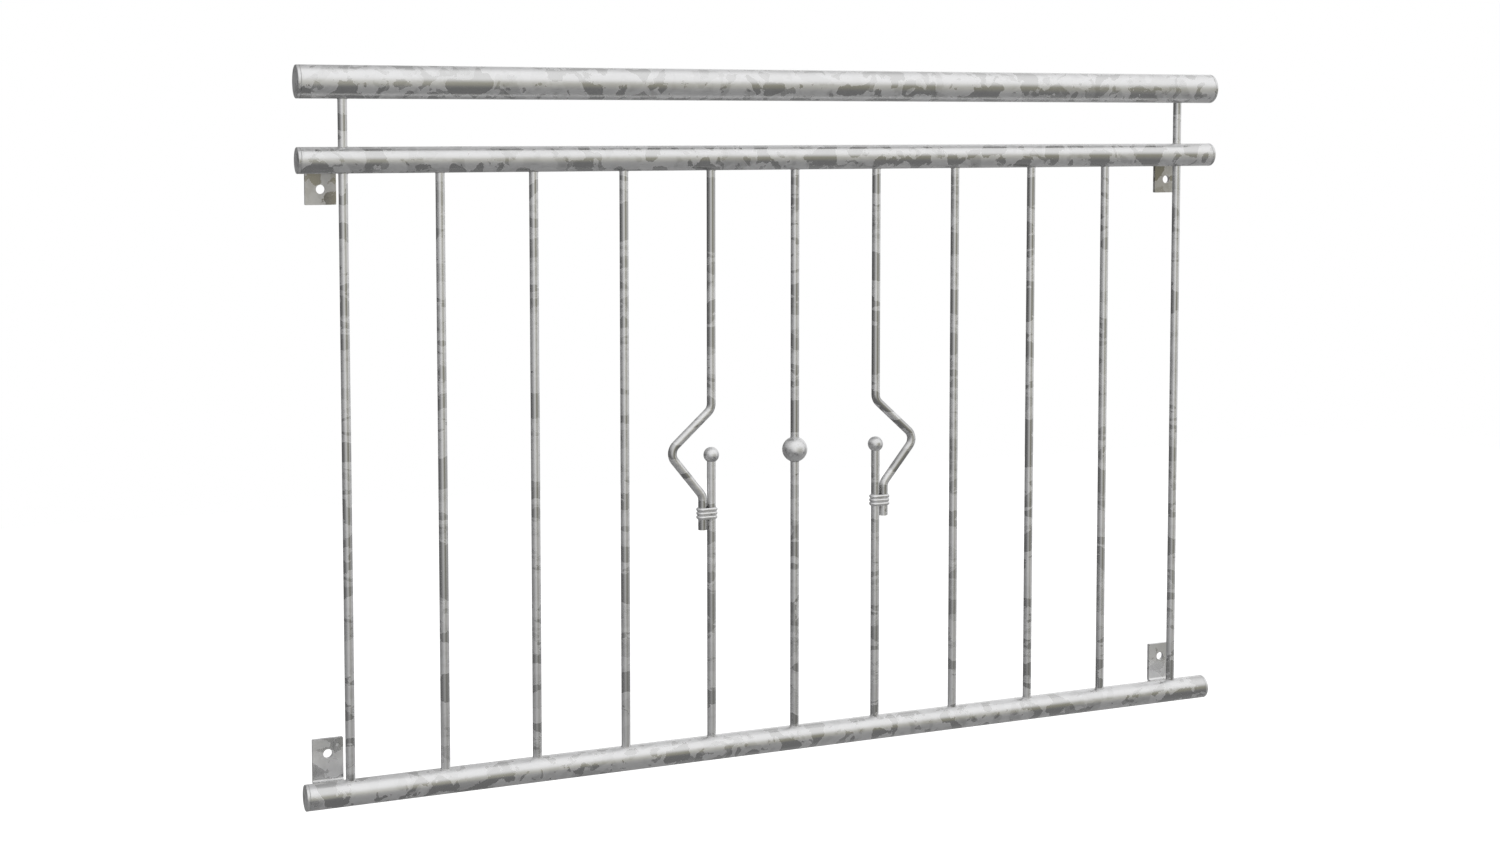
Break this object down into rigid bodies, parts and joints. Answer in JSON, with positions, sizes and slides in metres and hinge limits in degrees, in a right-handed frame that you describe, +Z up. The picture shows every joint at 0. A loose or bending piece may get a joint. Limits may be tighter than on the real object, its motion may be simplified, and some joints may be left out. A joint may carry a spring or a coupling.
{
  "type": "juliet balcony",
  "caption": "Wall-mounted juliet balcony railing of galvanised steel: round tube rails, slim upright bars, a ball and bent-rod ornament, and flat wall brackets.",
  "frame": {"origin": "on the wall face of the lower left bracket, between its fold and its bolt hole", "axes": "+X along the railing from left to right as seen from outside, +Y towards the wall, +Z up"},
  "size_m": [1.367, 0.0792, 0.9485],
  "materials": {
    "galvanised_steel": "hot-dip galvanised, mottled matt grey"
  },
  "bodies": {
    "root": {"handrail": "galvanised_steel", "middle_rail": "galvanised_steel", "bottom_rail": "galvanised_steel", "handrail_cap_left": "galvanised_steel", "handrail_cap_right": "galvanised_steel", "middle_rail_cap_left": "galvanised_steel", "middle_rail_cap_right": "galvanised_steel", "bottom_rail_cap_left": "galvanised_steel", "bottom_rail_cap_right": "galvanised_steel", "handrail_post_left": "galvanised_steel", "handrail_post_right": "galvanised_steel", "end_bar_left": "galvanised_steel", "end_bar_right": "galvanised_steel", "bar_left_outer": "galvanised_steel", "bar_left_mid": "galvanised_steel", "bar_left_inner": "galvanised_steel", "bar_right_inner": "galvanised_steel", "bar_right_mid": "galvanised_steel", "bar_right_outer": "galvanised_steel", "middle_bar": "galvanised_steel", "middle_ball": "galvanised_steel", "short_bar_left": "galvanised_steel", "short_bar_right": "galvanised_steel", "finial_ball_left": "galvanised_steel", "finial_ball_right": "galvanised_steel", "bent_rod_left": "galvanised_steel", "bent_rod_right": "galvanised_steel", "collar_left": "galvanised_steel", "collar_right": "galvanised_steel", "bracket_lower_left": "galvanised_steel", "bracket_lower_right": "galvanised_steel", "bracket_upper_left": "galvanised_steel", "bracket_upper_right": "galvanised_steel"}
  },
  "joints": []
}
